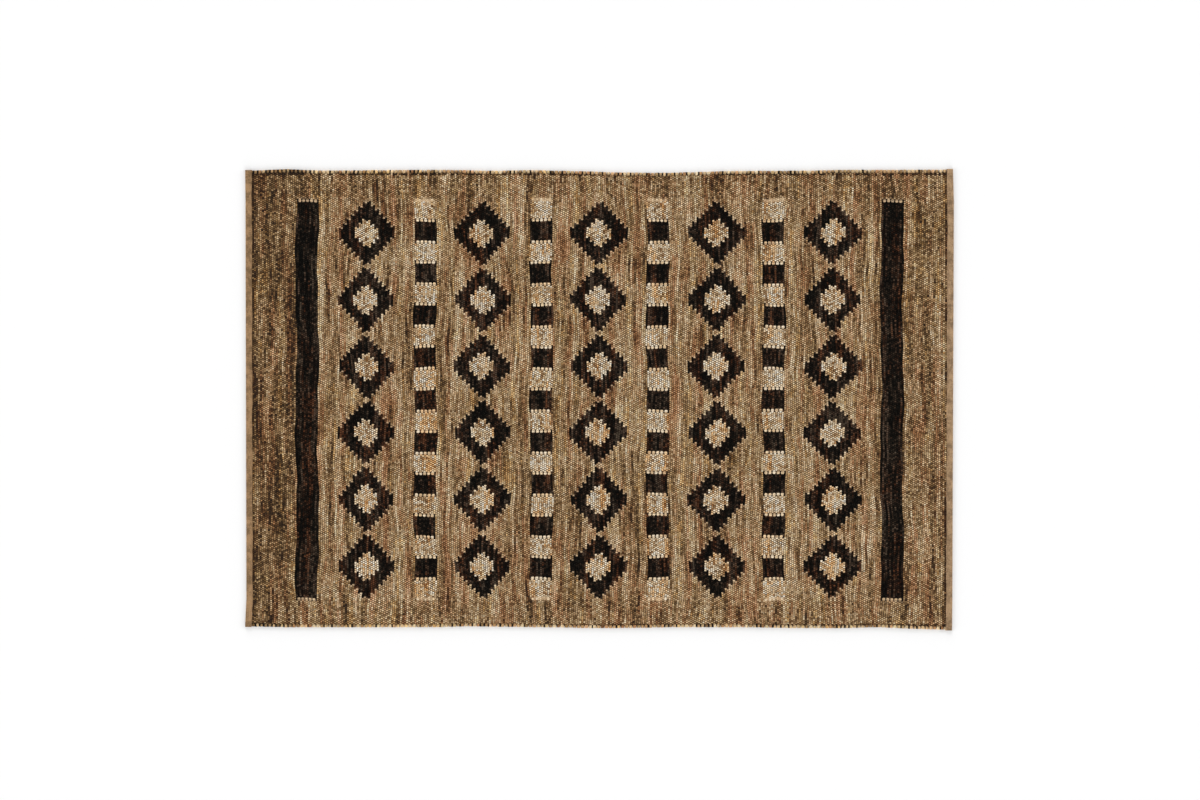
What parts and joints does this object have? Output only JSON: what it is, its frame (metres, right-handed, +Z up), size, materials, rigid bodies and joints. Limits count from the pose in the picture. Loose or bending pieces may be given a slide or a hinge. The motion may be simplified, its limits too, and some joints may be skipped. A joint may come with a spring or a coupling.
{
  "type": "leather rug",
  "caption": "Flat handwoven leather and jute rug with stepped lozenges, check columns and dark end stripes, woven selvedges and a folded tape over each end.",
  "frame": {"origin": "centre of the rug's footprint, on the surface that it lies on", "axes": "+X along the rug's length towards its right end, +Y across it towards its back edge, +Z up through its thickness"},
  "size_m": [3.004, 1.956, 0.0075],
  "materials": {
    "leather_and_jute": "handwoven leather strips in heathered tan, brown and near-black, with pale jute, matt with a slight sheen",
    "binding_tape_left": "plain brown woven tape, matt",
    "binding_tape_right": "plain brown woven tape, matt, a little greyer"
  },
  "bodies": {
    "root": {"rug_cloth": "leather_and_jute", "end_binding_left": "binding_tape_left", "end_binding_right": "binding_tape_right"}
  },
  "joints": []
}
